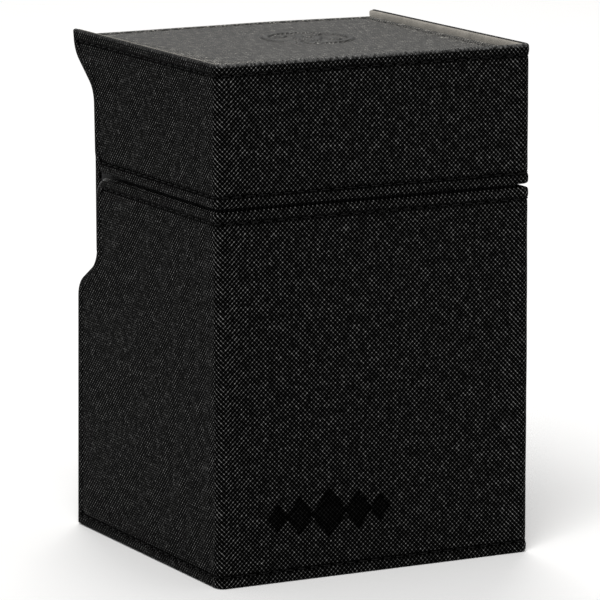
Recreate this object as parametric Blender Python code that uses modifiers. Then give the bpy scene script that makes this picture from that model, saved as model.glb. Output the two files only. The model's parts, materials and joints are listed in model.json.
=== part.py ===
"""Card deck box with a fold-back lid.

A greyboard tray for sleeved cards stands inside a stiff leatherette cover that wraps its front
and both sides. The lid is made the same way. A short spine joins the two at the rear with a fold
line at each of its edges, so that the lid swings half a turn and hangs behind the body.

Frame: origin at the centre of the bottom, +X to the right, -Y at the front, +Z up, in metres.
"""
import math

import bmesh
import bpy
from mathutils import Matrix, Vector

MM = 0.001

# Outside of the box
WIDTH = 77.2 * MM
DEPTH = 72.4 * MM
HEIGHT = 114.0 * MM
SPLIT_Z = 82.6 * MM          # height at which the lid meets the body
SPLIT_GAP = 0.8 * MM
CORNER_RADIUS = 2.0 * MM     # vertical front corners of the covers
ARC_STEP = math.radians(15)
CORNER_STEPS = 6
OVERSHOOT = 1.0 * MM         # how far a rough shape runs past the cut that trims it
MITRE_LIMIT = 0.3
MERGE = 0.01 * MM

# Layers, from the outside in
COVER = 1.5 * MM             # leatherette on stiff board
PANEL = 0.8 * MM             # leatherette back, top and spine skins
SKIN = 0.3 * MM              # thin linings and the tray's outer covering
LINING = 0.4 * MM            # padded lining inside the tray and the lid
BOARD = 1.4 * MM
GLUE = 0.1 * MM              # gap between bonded layers
PLAY = 0.2 * MM              # gap between pieces that only sit beside each other
LINING_INSET = 0.5 * MM      # from a cover's edge to its lining's edge

# Inner box, shared by the tray and the lid's frame
INNER_HALF = WIDTH / 2 - COVER - GLUE - SKIN - PLAY
TRAY_FRONT = 2.6 * MM        # distances along Y are measured back from the front face
TRAY_REAR = 62.8 * MM
TRAY_BOTTOM = 1.9 * MM
RIM_FRONT_Z = 89.5 * MM      # the rim is low at the front and rises to the sides
RIM_REAR_Z = 94.5 * MM
BASE_THICKNESS = 1.6 * MM
COVER_INNER_Y = TRAY_FRONT   # front edge of the base, the top and the lid's frame

# Rear: full depth at the bottom and at the top, drawn in at the waist
REAR_Y = 70.8 * MM
WAIST_Y = 65.2 * MM
FOLD_Z = (75.5 * MM, 89.5 * MM)   # the two fold lines, at the spine's lower and upper edge
FOLD_GAP = 0.3 * MM
SPINE_BOARD = 0.8 * MM

# Lid
LID_FRAME_Z = 96.0 * MM      # lower edge of the lid's inner frame, just over the tray's rim
LID_FRAME_TOP = 110.3 * MM
TOP_BOARD_Z = (110.4 * MM, 111.8 * MM)
TOP_PANEL_Z = (111.9 * MM, 112.7 * MM)
LID_REAR_Y = 63.3 * MM
LID_FILLER_Z = 104.0 * MM

# Closure magnets, one pair on each side of the front
MAGNET_RADIUS = 2.5 * MM
MAGNET_SIDES = 24
MAGNET_X = 24.0 * MM
MAGNET_Z = 86.3 * MM
TRAY_MAGNET_Y = (3.1 * MM, 3.9 * MM)
LID_MAGNET_Y = (0.7 * MM, 1.4 * MM)
POCKET_CLEARANCE = 0.2 * MM

# Side outlines as (distance from the front, height, corner radius)
BODY_WING = (
    (0.0, 0.0, 0.0),
    (DEPTH, 0.0, 0.0),
    (71.0 * MM, 56.4 * MM, 5.5 * MM),
    (60.8 * MM, 62.6 * MM, 6.0 * MM),
    (60.8 * MM, SPLIT_Z - SPLIT_GAP / 2, 5.5 * MM),
    (0.0, SPLIT_Z - SPLIT_GAP / 2, 0.0),
)
LID_WING = (
    (0.0, SPLIT_Z + SPLIT_GAP / 2, 0.0),
    (61.2 * MM, SPLIT_Z + SPLIT_GAP / 2, 5.0 * MM),
    (61.7 * MM, 101.2 * MM, 6.0 * MM),
    (71.6 * MM, 108.9 * MM, 7.0 * MM),
    (DEPTH, HEIGHT, 0.0),
    (0.0, HEIGHT, 0.0),
)
TRAY_SIDE = (
    (0.0, TRAY_BOTTOM, 0.0),
    (TRAY_REAR, TRAY_BOTTOM, 0.0),
    (TRAY_REAR, RIM_REAR_Z, 0.0),
    (20.0 * MM, RIM_REAR_Z, 8.0 * MM),
    (9.0 * MM, RIM_FRONT_Z, 8.0 * MM),
    (0.0, RIM_FRONT_Z, 0.0),
)
BODY_BACK = (
    (REAR_Y, 0.0, 0.0),
    (REAR_Y, 56.1 * MM, 5.0 * MM),
    (WAIST_Y, 59.5 * MM, 5.0 * MM),
    (WAIST_Y, FOLD_Z[0] - FOLD_GAP, 0.0),
)
LID_BACK = (
    (WAIST_Y, FOLD_Z[1] + FOLD_GAP, 0.0),
    (WAIST_Y, 104.7 * MM, 4.0 * MM),
    (REAR_Y, 108.6 * MM, 5.0 * MM),
    (REAR_Y, TOP_BOARD_Z[1], 0.0),
)

# Finishes as (name, colour, roughness, metallic)
LEATHERETTE = ("black_leatherette", (0.012, 0.012, 0.013), 0.42, 0.0)
SMOOTH_LEATHERETTE = ("smooth_leatherette", (0.030, 0.029, 0.028), 0.38, 0.0)
PALE_LINING = ("grey_lining", (0.300, 0.280, 0.250), 0.90, 0.0)
MICROFIBRE = ("dark_microfibre", (0.045, 0.045, 0.048), 0.85, 0.0)
GREYBOARD = ("greyboard", (0.240, 0.225, 0.200), 0.95, 0.0)
NICKEL = ("nickel_plate", (0.620, 0.610, 0.590), 0.25, 1.0)


def material(finish):
    """The named Principled BSDF, made once."""
    name, colour, roughness, metallic = finish
    found = bpy.data.materials.get(name)
    if found:
        return found
    made = bpy.data.materials.new(name)
    made.use_nodes = True
    shader = made.node_tree.nodes["Principled BSDF"]
    shader.inputs["Base Color"].default_value = (*colour, 1.0)
    shader.inputs["Roughness"].default_value = roughness
    shader.inputs["Metallic"].default_value = metallic
    made.diffuse_color = (*colour, 1.0)
    return made


def add_object(name, mesh, finish, parent=None):
    """Links a mesh as a named part of the box, keeping its place in the world under a parent."""
    part = bpy.data.objects.new(name, mesh)
    parts.objects.link(part)
    part.data.materials.append(material(finish))
    if parent:
        part.parent = parent
        part.matrix_parent_inverse = Matrix.Translation(-world_place[parent.name])
    return part


def add_cutter(name, mesh):
    """Links a mesh as a guide for Booleans, which isn't part of the box."""
    cutter = bpy.data.objects.new(name, mesh)
    cutters.objects.link(cutter)
    cutter.hide_render = True
    cutter.display_type = "WIRE"
    return cutter


def back(distance):
    """The Y coordinate of a place that lies this far back from the front face."""
    return distance - DEPTH / 2


def rounded(corners):
    """Points along an outline whose corners carry fillets; the first and last stay sharp."""
    points = []
    count = len(corners)
    for i, (y, z, radius) in enumerate(corners):
        here = Vector((y, z))
        if radius == 0.0:
            points.append(here)
            continue
        before = (Vector(corners[i - 1][:2]) - here).normalized()
        after = (Vector(corners[(i + 1) % count][:2]) - here).normalized()
        half_angle = before.angle(after) / 2
        centre = here + (before + after).normalized() * (radius / math.sin(half_angle))
        start = here + before * (radius / math.tan(half_angle)) - centre
        turn = math.pi - 2 * half_angle
        if start.cross(before) > 0:
            turn = -turn
        steps = max(2, math.ceil(abs(turn) / ARC_STEP))
        for k in range(steps + 1):
            points.append(centre + Matrix.Rotation(turn * k / steps, 2) @ start)
    return points


def inset(points, distance, closed=True):
    """The outline moved to its left by a distance, with mitred corners."""
    moved = []
    count = len(points)
    for i, here in enumerate(points):
        before = points[i - 1] if closed or i > 0 else here * 2 - points[1]
        after = points[(i + 1) % count] if closed or i < count - 1 else here * 2 - points[-2]
        first = (here - before).normalized()
        second = (after - here).normalized()
        across = (first + second).normalized()
        left = Vector((-across.y, across.x))
        moved.append(here + left * (distance / max(across.dot(first), MITRE_LIMIT)))
    return moved


def prism(points, half_width, name="side_prism"):
    """A closed mesh: a side outline extruded to both sides of the middle of the box."""
    curve = bpy.data.curves.new(name, "CURVE")
    curve.dimensions = "2D"
    curve.fill_mode = "BOTH"
    curve.extrude = half_width
    spline = curve.splines.new("POLY")
    spline.points.add(len(points) - 1)
    for target, (y, z) in zip(spline.points, points):
        target.co = (back(y), z, 0.0, 1.0)
    spline.use_cyclic_u = True
    holder = bpy.data.objects.new(name, curve)
    holder.rotation_euler = (math.pi / 2, 0.0, math.pi / 2)
    bpy.context.scene.collection.objects.link(holder)
    bpy.context.view_layer.update()
    evaluated = holder.evaluated_get(bpy.context.evaluated_depsgraph_get())
    mesh = bpy.data.meshes.new_from_object(evaluated)
    mesh.transform(holder.matrix_world)
    bpy.data.objects.remove(holder)
    shape = bmesh.new()
    shape.from_mesh(mesh)
    bmesh.ops.remove_doubles(shape, verts=shape.verts, dist=MERGE)
    bmesh.ops.recalc_face_normals(shape, faces=shape.faces)
    shape.to_mesh(mesh)
    shape.free()
    return mesh


def block(low, high, open_side=None):
    """A box between two corners, given back from the front; one side may be left open."""
    shape = bmesh.new()
    bmesh.ops.create_cube(shape, size=1.0)
    size = Vector(high) - Vector(low)
    middle = (Vector(high) + Vector(low)) / 2
    bmesh.ops.scale(shape, vec=size, verts=shape.verts)
    bmesh.ops.translate(shape, vec=(middle.x, back(middle.y), middle.z), verts=shape.verts)
    if open_side:
        shape.normal_update()
        faces = [f for f in shape.faces if f.normal.dot(Vector(open_side)) > 0.9]
        bmesh.ops.delete(shape, geom=faces, context="FACES_ONLY")
    return finished(shape, "block")


def finished(shape, name):
    """The mesh of a finished bmesh."""
    mesh = bpy.data.meshes.new(name)
    shape.to_mesh(mesh)
    shape.free()
    return mesh


def strip(points, lift):
    """An open surface: a line of points swept along one vector."""
    shape = bmesh.new()
    near = [shape.verts.new(p) for p in points]
    far = [shape.verts.new(Vector(p) + Vector(lift)) for p in points]
    for i in range(len(points) - 1):
        shape.faces.new((near[i], near[i + 1], far[i + 1], far[i]))
    return finished(shape, "strip")


def thicken(part, thickness):
    """Gives an open surface a thickness, behind its faces."""
    shell = part.modifiers.new("thickness", "SOLIDIFY")
    shell.thickness = thickness
    shell.offset = -1.0
    shell.use_even_offset = True


def trim(part, cutter, operation):
    """Cuts a part with a guide solid."""
    cut = part.modifiers.new(cutter.name, "BOOLEAN")
    cut.object = cutter
    cut.operation = operation
    cut.solver = "EXACT"


def wrap_line(offset):
    """Plan of a cover, from the left wing's rear round the front to the right wing's rear."""
    side = WIDTH / 2 - offset
    front = offset
    radius = CORNER_RADIUS - offset
    rear = DEPTH + OVERSHOOT
    line = [Vector((-side, rear, 0.0))]
    for centre_x, first in ((-side + radius, math.pi), (side - radius, 1.5 * math.pi)):
        for k in range(CORNER_STEPS + 1):
            angle = first + k * math.pi / 2 / CORNER_STEPS
            x = centre_x + radius * math.cos(angle)
            y = front + radius + radius * math.sin(angle)
            line.append(Vector((x, y, 0.0)))
    line.append(Vector((side, rear, 0.0)))
    return [Vector((p.x, back(p.y), -OVERSHOOT)) for p in line]


def cover(name, wing, offset, thickness, edge, finish, parent=None):
    """A cover or its lining: front and two wings in one piece, cut to the wing's outline."""
    mesh = strip(wrap_line(offset), (0.0, 0.0, HEIGHT + 2 * OVERSHOOT))
    part = add_object(name, mesh, finish, parent)
    thicken(part, thickness)
    outline = rounded(wing)
    if edge:
        outline = inset(outline, edge)
    outline = [Vector((-OVERSHOOT if p.x < OVERSHOOT else p.x, p.y)) for p in outline]
    guide = add_cutter(name + "_outline", prism(outline, WIDTH))
    trim(part, guide, "INTERSECT")
    return part


def disc(y_span, x, radius):
    """A round solid that lies along Y."""
    shape = bmesh.new()
    near, far = y_span
    turn = Matrix.Rotation(math.pi / 2, 4, "X")
    place = Matrix.Translation((x, back((near + far) / 2), MAGNET_Z))
    bmesh.ops.create_cone(
        shape, cap_ends=True, segments=MAGNET_SIDES, radius1=radius, radius2=radius,
        depth=far - near, matrix=place @ turn,
    )
    return finished(shape, "disc")


def magnet_pair(prefix, y_span, host, open_towards, parent=None):
    """Two closure magnets and the pockets that they sit in."""
    near, far = y_span
    if open_towards < 0:
        pocket = (near - 2 * OVERSHOOT, far + POCKET_CLEARANCE)
    else:
        pocket = (near - POCKET_CLEARANCE, far + 2 * OVERSHOOT)
    for side, x in (("left", -MAGNET_X), ("right", MAGNET_X)):
        magnet = add_object(prefix + side, disc(y_span, x, MAGNET_RADIUS), NICKEL, parent)
        magnet.data.shade_smooth()
        magnet.data.set_sharp_from_angle(angle=math.radians(40))
        hollow = disc(pocket, x, MAGNET_RADIUS + POCKET_CLEARANCE)
        trim(host, add_cutter(prefix + side + "_pocket", hollow), "DIFFERENCE")


def open_tube(half, front, rear, height):
    """Four upright walls without a floor or a top, facing outwards."""
    ring = [
        Vector((-half, back(front), 0.0)), Vector((half, back(front), 0.0)),
        Vector((half, back(rear), 0.0)), Vector((-half, back(rear), 0.0)),
    ]
    shape = bmesh.new()
    low = [shape.verts.new(p) for p in ring]
    high = [shape.verts.new(p + Vector((0.0, 0.0, height))) for p in ring]
    for i in range(4):
        j = (i + 1) % 4
        shape.faces.new((low[i], low[j], high[j], high[i]))
    return finished(shape, "tube")


def tray_boards(outer, front, rear, across):
    """The tray's greyboard sides, front, rear and floor; returns the front for its magnets."""
    outline = [Vector((min(max(p.x, front), rear), p.y)) for p in rounded(TRAY_SIDE)]
    for side, sign in (("left", -1), ("right", 1)):
        mesh = prism(outline, BOARD / 2)
        mesh.transform(Matrix.Translation((sign * (outer - BOARD / 2), 0.0, 0.0)))
        add_object("tray_" + side + "_board", mesh, GREYBOARD)
    mesh = block((-across, front, TRAY_BOTTOM), (across, front + BOARD, RIM_FRONT_Z))
    front_board = add_object("tray_front_board", mesh, GREYBOARD)
    mesh = block((-across, rear - BOARD, TRAY_BOTTOM), (across, rear, RIM_REAR_Z))
    add_object("tray_rear_board", mesh, GREYBOARD)
    floor_front, floor_rear = front + BOARD + GLUE, rear - BOARD - GLUE
    mesh = block((-across, floor_front, TRAY_BOTTOM), (across, floor_rear, TRAY_BOTTOM + BOARD))
    add_object("tray_floor_board", mesh, GREYBOARD)
    return front_board


def tray():
    """The greyboard tray with its outer covering and its lining."""
    rim = add_cutter("tray_rim_outline", prism(rounded(TRAY_SIDE), WIDTH))
    top = RIM_REAR_Z + OVERSHOOT
    skin = add_object("tray_skin", open_tube(INNER_HALF, TRAY_FRONT, TRAY_REAR, top), MICROFIBRE)
    thicken(skin, SKIN)
    trim(skin, rim, "INTERSECT")

    wall = SKIN + GLUE
    across = INNER_HALF - wall - BOARD - GLUE
    front_board = tray_boards(INNER_HALF - wall, TRAY_FRONT + wall, TRAY_REAR - wall, across)
    magnet_pair("tray_magnet_", TRAY_MAGNET_Y, front_board, -1)

    inside = wall + BOARD + GLUE
    low = (-across, TRAY_FRONT + inside, TRAY_BOTTOM + BOARD + GLUE)
    high = (across, TRAY_REAR - inside, top)
    lining = add_object("tray_lining", block(low, high, (0, 0, 1)), MICROFIBRE)
    thicken(lining, LINING)
    trim(lining, rim, "INTERSECT")


def back_panel(name, corners, finish, parent=None):
    """A leatherette back that follows the rear outline."""
    line = [Vector((-INNER_HALF, back(y), z)) for y, z in rounded(corners)]
    part = add_object(name, strip(line, (2 * INNER_HALF, 0.0, 0.0)), finish, parent)
    thicken(part, PANEL)
    return part


def filler(name, corners, low_y, low_z, high_z, parent=None):
    """The core behind a back panel, from the inner box out to the panel."""
    line = inset(rounded(corners), PANEL + PLAY, closed=False)
    line = [Vector((p.x, max(p.y, low_z))) for p in line if p.y < high_z and p.x > low_y]
    outline = [Vector((low_y, line[0].y)), *line]
    outline += [Vector((line[-1].x, high_z)), Vector((low_y, high_z))]
    return add_object(name, prism(outline, INNER_HALF - PLAY), GREYBOARD, parent)


def body():
    """The fixed lower part."""
    cover("body_wrap", BODY_WING, 0.0, COVER, 0.0, LEATHERETTE)
    cover("body_wrap_lining", BODY_WING, COVER + GLUE, SKIN, LINING_INSET, PALE_LINING)
    tray()
    base_rear = REAR_Y - PANEL - PLAY
    add_object(
        "base_panel",
        block((-INNER_HALF, COVER_INNER_Y, 0.0), (INNER_HALF, base_rear, BASE_THICKNESS)),
        SMOOTH_LEATHERETTE,
    )
    back_panel("body_rear_panel", BODY_BACK, LEATHERETTE)
    near = TRAY_REAR + PLAY
    filler("body_rear_filler", BODY_BACK, near, TRAY_BOTTOM, FOLD_Z[0] - FOLD_GAP)


def spine(axis):
    """The strip between the two fold lines: skin, stiffener and lining."""
    low, high = FOLD_Z[0] + FOLD_GAP, FOLD_Z[1] - FOLD_GAP
    layers = (
        ("spine_skin", WAIST_Y - PANEL, WAIST_Y, LEATHERETTE),
        ("spine_board", WAIST_Y - PANEL - GLUE - SPINE_BOARD, WAIST_Y - PANEL - GLUE, GREYBOARD),
    )
    for name, near, far, finish in layers:
        mesh = block((-INNER_HALF, near, low), (INNER_HALF, far, high))
        add_object(name, mesh, finish, axis)
    far = WAIST_Y - PANEL - SPINE_BOARD - 2 * GLUE
    mesh = block((-INNER_HALF, far - SKIN, low), (INNER_HALF, far, high))
    add_object("spine_lining", mesh, MICROFIBRE, axis)


def lid_frame(axis):
    """The greyboard frame in the lid and the lining over it."""
    half, front = INNER_HALF, COVER_INNER_Y
    inner = half - BOARD
    side_rear = LID_REAR_Y - GLUE
    for side, sign in (("left", -1), ("right", 1)):
        mesh = block((inner, front, LID_FRAME_Z), (half, side_rear, LID_FRAME_TOP))
        mesh.transform(Matrix.Translation(((sign - 1) * (half + inner) / 2, 0.0, 0.0)))
        add_object("lid_" + side + "_board", mesh, GREYBOARD, axis)
    across = inner - GLUE
    mesh = block((-across, front, LID_FRAME_Z), (across, front + BOARD, LID_FRAME_TOP))
    add_object("lid_front_board", mesh, GREYBOARD, axis)
    rear_low = (-half, LID_REAR_Y, FOLD_Z[1] + FOLD_GAP)
    mesh = block(rear_low, (half, WAIST_Y - PANEL - GLUE, LID_FRAME_TOP))
    add_object("lid_rear_board", mesh, GREYBOARD, axis)
    low = (-across, front + BOARD + GLUE, LID_FRAME_Z)
    high = (across, side_rear, LID_FRAME_TOP - GLUE)
    lining = add_object("lid_lining", block(low, high, (0, 0, -1)), MICROFIBRE, axis)
    thicken(lining, LINING)


def lid(axis):
    """Everything that swings with the lid."""
    wrap = cover("lid_wrap", LID_WING, 0.0, COVER, 0.0, LEATHERETTE, axis)
    cover("lid_wrap_lining", LID_WING, COVER + GLUE, SKIN, LINING_INSET, PALE_LINING, axis)
    magnet_pair("lid_magnet_", LID_MAGNET_Y, wrap, 1, axis)
    lid_frame(axis)
    inner_rear = REAR_Y - PANEL - PLAY
    low, high = TOP_BOARD_Z
    mesh = block((-INNER_HALF, COVER_INNER_Y, low), (INNER_HALF, inner_rear, high))
    add_object("lid_top_board", mesh, GREYBOARD, axis)
    low, high = TOP_PANEL_Z
    mesh = block((-INNER_HALF, COVER_INNER_Y, low), (INNER_HALF, REAR_Y, high))
    add_object("lid_top_panel", mesh, SMOOTH_LEATHERETTE, axis)
    back_panel("lid_rear_panel", LID_BACK, LEATHERETTE, axis)
    near = WAIST_Y - PANEL + PLAY
    filler("lid_rear_filler", LID_BACK, near, LID_FILLER_Z, LID_FRAME_TOP, axis)


def fold_axis(name, height, parent=None):
    """An empty on one of the two fold lines."""
    axis = bpy.data.objects.new(name, None)
    parts.objects.link(axis)
    place = Vector((0.0, back(WAIST_Y), height))
    axis.parent = parent
    axis.location = place - (world_place[parent.name] if parent else Vector())
    world_place[name] = place
    return axis


for old in list(bpy.data.objects):
    bpy.data.objects.remove(old)
parts = bpy.data.collections.new("Card deck box")
cutters = bpy.data.collections.new("Cutters")
bpy.context.scene.collection.children.link(parts)
bpy.context.scene.collection.children.link(cutters)
world_place = {}

body()
spine_axis = fold_axis("spine_fold_axis", FOLD_Z[0])
spine(spine_axis)
lid_axis = fold_axis("lid_fold_axis", FOLD_Z[1], spine_axis)
lid(lid_axis)
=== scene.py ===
"""Finished look of a card deck box with a fold-back lid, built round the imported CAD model.

Woven leatherette covers with rolled hems and sewn grooves wrap the front and both sides. The
sunk top, the back with its two folds, the base and the soft inner box are pieces of their own.

Lengths are millimetres and Y is counted back from the front face until a mesh is made; the mesh
itself is in metres, in the CAD model's frame.
"""
import json
import math

import bpy
import numpy as np
from mathutils import Matrix, Vector


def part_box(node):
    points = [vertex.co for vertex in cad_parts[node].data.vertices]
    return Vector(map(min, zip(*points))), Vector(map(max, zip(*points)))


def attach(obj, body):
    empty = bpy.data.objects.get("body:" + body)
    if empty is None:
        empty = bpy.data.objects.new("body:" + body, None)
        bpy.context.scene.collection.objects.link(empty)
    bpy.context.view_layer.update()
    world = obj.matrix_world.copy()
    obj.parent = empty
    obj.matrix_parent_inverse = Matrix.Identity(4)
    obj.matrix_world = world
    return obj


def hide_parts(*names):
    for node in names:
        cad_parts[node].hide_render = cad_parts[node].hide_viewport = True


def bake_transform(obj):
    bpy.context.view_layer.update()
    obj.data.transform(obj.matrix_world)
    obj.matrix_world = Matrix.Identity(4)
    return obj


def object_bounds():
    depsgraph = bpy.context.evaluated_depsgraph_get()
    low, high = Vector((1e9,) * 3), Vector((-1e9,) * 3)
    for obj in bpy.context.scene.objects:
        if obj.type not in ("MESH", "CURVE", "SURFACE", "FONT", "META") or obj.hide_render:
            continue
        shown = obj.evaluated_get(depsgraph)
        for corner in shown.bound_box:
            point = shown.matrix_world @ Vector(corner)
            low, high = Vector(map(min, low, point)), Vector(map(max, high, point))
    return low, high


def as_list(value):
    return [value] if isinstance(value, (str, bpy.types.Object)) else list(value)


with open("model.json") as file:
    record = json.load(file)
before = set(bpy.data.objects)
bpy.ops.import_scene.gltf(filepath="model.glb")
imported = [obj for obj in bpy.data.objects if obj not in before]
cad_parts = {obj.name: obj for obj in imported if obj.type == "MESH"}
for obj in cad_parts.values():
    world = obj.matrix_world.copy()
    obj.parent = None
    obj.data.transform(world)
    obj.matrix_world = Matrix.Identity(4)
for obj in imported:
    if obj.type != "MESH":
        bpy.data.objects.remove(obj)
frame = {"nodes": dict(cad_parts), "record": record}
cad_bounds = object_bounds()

MM = 0.001
FRONT_Y = cad_bounds[0][1]


def span(node):
    """A CAD node's lowest and highest corners, in millimetres, with Y back from the front."""
    low, high = (np.array(corner) - (0.0, FRONT_Y, 0.0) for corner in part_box(node))
    return low / MM, high / MM


# Camera
AZIMUTH = math.radians(-27.447)
ELEVATION = math.radians(10.387)
ROLL = math.radians(-0.12)
DISTANCE = 1.0460
AIM = Vector((0.0, -0.00017, 0.05446))
LENS = 280.25
SENSOR = 36.0

# Sizes read from the CAD model
BODY_HIGH = span("body_wrap")[1]
LID_LOW, LID_HIGH = span("lid_wrap")
PANEL_LOW, PANEL_HIGH = span("lid_top_panel")
BASE_LOW, BASE_HIGH = span("base_panel")
BACK_HIGH = span("body_rear_panel")[1]
LID_BACK_HIGH = span("lid_rear_panel")[1]
SPINE_HIGH = span("spine_skin")[1]
SPINE_LINING_LOW = span("spine_lining")[0]
TRAY_LOW, TRAY_HIGH = span("tray_skin")
TRAY_LINING_LOW, TRAY_LINING_HIGH = span("tray_lining")
LID_LINING_LOW, LID_LINING_HIGH = span("lid_lining")
LID_BOARD_LOW, LID_BOARD_HIGH = span("lid_right_board")
REAR_BOARD_LOW = span("lid_rear_board")[0]
FOLD_Z = [joint["pos_m"][2] / MM for joint in frame["record"]["behaviour"]["joints"]]
HALF_WIDTH = BODY_HIGH[0]
INNER_HALF = PANEL_HIGH[0]
LINING_INNER = INNER_HALF + 0.2            # inner side of the covers' lining
DEPTH = BODY_HIGH[1]
REAR_Y = BACK_HIGH[1]
WAIST_Y = SPINE_HIGH[1]
SEAM_Z = (FOLD_Z[0] + FOLD_Z[1]) / 2       # where the back's two leathers meet, inside the spine

# Side outlines of the covers: (back, height, corner radius)
TIP = 0.5
BODY_WING = (
    (0.0, 0.0, 0.0),
    (DEPTH, 0.0, TIP),
    (71.0, 56.4, 5.5),
    (60.8, 62.6, 6.0),
    (60.8, BODY_HIGH[2], 5.5),
    (0.0, BODY_HIGH[2], 0.0),
)
LID_WING = (
    (0.0, LID_LOW[2], 0.0),
    (61.2, LID_LOW[2], 5.0),
    (61.7, 101.2, 6.0),
    (71.6, 108.9, 7.0),
    (DEPTH, LID_HIGH[2], TIP),
    (0.0, LID_HIGH[2], 0.0),
)
BODY_BACK = (
    (REAR_Y, 0.3, 0.0),
    (REAR_Y, 56.1, 5.0),
    (WAIST_Y, 59.5, 5.0),
    (WAIST_Y, SEAM_Z, 0.0),
)
LID_BACK = (
    (WAIST_Y, SEAM_Z, 0.0),
    (WAIST_Y, 104.7, 4.0),
    (REAR_Y, 108.6, 5.0),
    (REAR_Y, LID_BACK_HIGH[2], 0.0),
)
TRAY_RIM = ((-10.0, 89.5, 0.0), (9.0, 89.5, 8.0), (20.0, 94.5, 8.0), (80.0, 94.5, 0.0))
ARC_POINTS = 14

# Leather
CORNER = 2.0                 # vertical front corners of the covers
LEATHER = 1.1                # leatherette with its stiffener
ROLL_RADIUS = 0.53           # folded edge
HEM = 2.45                   # from the edge to the sewn groove
HEM_RISE = 0.13
GROOVE_DEPTH = 0.38
GROOVE_WIDTH = 0.27
GROOVE_SHADE_WIDTH = 0.48            # how far the painted shade in the groove reaches
FIELD_SINK = 0.10            # the field starts this low beside the groove
STITCH = 2.3
STITCH_GAP = 0.7
THREAD = 0.17
THREAD_DEPTH = 0.12 - GROOVE_DEPTH
PANEL_CORNER = 0.8
PANEL_SPREAD = 0.15          # the top leather reaches this far towards the linings beside it
BASE_RECESS = 0.25
LEFT_RISE = 0.85             # the top board bows up along its left side
LEFT_FADE = 1.12             # and this share of that is gone at the rear
RIGHT_DROP = 0.25
REAR_RISE = 0.12
CLEAR = 0.04                 # left between layers that touch
WAVE = 0.05                  # slow unevenness of the covers
WEAVE_PITCH = 0.75
THREAD_LEAD = 0.24           # how far one family of threads stands over the other at a corner, which also paints that family lighter as a painted highlight
STREAK = (1.0, 0.22, 1.0)    # the weave's uneven streaks are long along the cloth's second axis

# Marks: pressed lozenges on the front, raised ring and lozenges on the top
MARK_X = -11.6
MARK_Z = 14.3
MARK_DEPTH = 0.30
MARK_LOZENGES = (
    (-12.6, 2.5, 3.0), (-7.2, 3.3, 4.3), (0.0, 4.4, 5.6), (7.2, 3.3, 4.3), (12.6, 2.5, 3.0),
)
EMBLEM_X = 4.3
EMBLEM_Y = 40.2
EMBLEM_RADIUS = 9.6
EMBLEM_RISE = 0.34

FLAT_HALF = HALF_WIDTH - CORNER
BEND = CORNER * math.pi / 2
WRAP_END = FLAT_HALF + BEND
CORNER_MIDDLE = FLAT_HALF + BEND / 2
BODY_BARE = 63.0             # above this height the wings leave the back's sides bare
LID_BARE = 101.6             # and below this one on the lid
FOLD_MARGIN = 2.0            # the back's stitches stop this far from a fold line
BACK_CORNER = 0.7
BACK_LEATHER = 0.55
FAR = 50.0                   # far enough that no hem is felt
REAR_INSET = 0.1             # from the covers' rear edges to their linings' edges
SPLIT_INSET = 0.6            # the same at the split
END_INSET = 0.15             # the same at the top and at the bottom
LINING_SPAN = (75.25, 95.3)  # heights of the lining strips behind the inner box
LINING_SIDE = 0.2            # from the inside's edges to those strips

# Mesh steps: on a rolled edge, at the split, and across a hem
ROLL_SPAN = 0.9
ROLL_STEP = 0.18
SPLIT_STEP = 0.15
HEM_SPAN = 4.2
HEM_STEP = 0.32
MARK_STEP = 0.34
THREAD_STEP = 0.25
SIDE_POINTS = 36


# ---------------------------------------------------------------- shapes in numbers


def unit(vector):
    return vector / np.linalg.norm(vector)


def rounded(corners):
    """A line of (back, height) points whose corners are turned into arcs."""
    points = []
    count = len(corners)
    for i, (y, z, radius) in enumerate(corners):
        here = np.array((y, z))
        if radius == 0.0:
            points.append(here)
            continue
        before = unit(np.array(corners[i - 1][:2]) - here)
        after = unit(np.array(corners[(i + 1) % count][:2]) - here)
        half = math.acos(before @ after) / 2
        centre = here + unit(before + after) * (radius / math.sin(half))
        first = here + before * (radius / math.tan(half)) - centre
        last = here + after * (radius / math.tan(half)) - centre
        turn = math.pi - 2 * half
        for t in np.linspace(0.0, 1.0, ARC_POINTS):
            weights = math.sin((1 - t) * turn), math.sin(t * turn)
            points.append(centre + (weights[0] * first + weights[1] * last) / math.sin(turn))
    return np.array(points)


def steps(*stops):
    """Rising values through several spans, each given as (start, end, largest step)."""
    parts = [np.array([stops[0][0]])]
    for start, end, step in stops:
        parts.append(np.linspace(start, end, max(1, math.ceil((end - start) / step)) + 1)[1:])
    return np.concatenate(parts)


def smooth(value, low, high):
    """0 below low, 1 above high, with an eased rise between them."""
    t = np.clip((value - low) / (high - low), 0.0, 1.0)
    return t * t * (3 - 2 * t)


def to_outline(outline, across, up):
    """Distance from points to a closed outline, and how far along it their nearest point is."""
    start = outline
    edge = np.roll(outline, -1, axis=0) - start
    length = np.hypot(*edge.T)
    travelled = np.concatenate([[0.0], np.cumsum(length)[:-1]])
    offset = np.stack([across, up], axis=-1)[..., None, :] - start
    t = np.clip((offset * edge).sum(-1) / np.maximum(length**2, 1e-9), 0.0, 1.0)
    gap = np.linalg.norm(offset - t[..., None] * edge, axis=-1)
    nearest = gap.argmin(-1)[..., None]
    along = np.take_along_axis(travelled + t * length, nearest, -1)[..., 0]
    return np.take_along_axis(gap, nearest, -1)[..., 0], along


def inset_outline(outline, distance):
    """A closed counter-clockwise outline moved inwards, with mitred corners."""
    ahead = np.roll(outline, -1, axis=0) - outline
    keep = np.hypot(*ahead.T) > 1e-6
    outline, ahead = outline[keep], ahead[keep]
    ahead = ahead / np.hypot(*ahead.T)[:, None]
    behind = np.roll(ahead, 1, axis=0)
    middle = ahead + behind
    middle /= np.hypot(*middle.T)[:, None]
    left = np.stack([-middle[:, 1], middle[:, 0]], axis=-1)
    return outline + left * (distance / np.maximum((middle * ahead).sum(-1), 0.3))[:, None]


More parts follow.
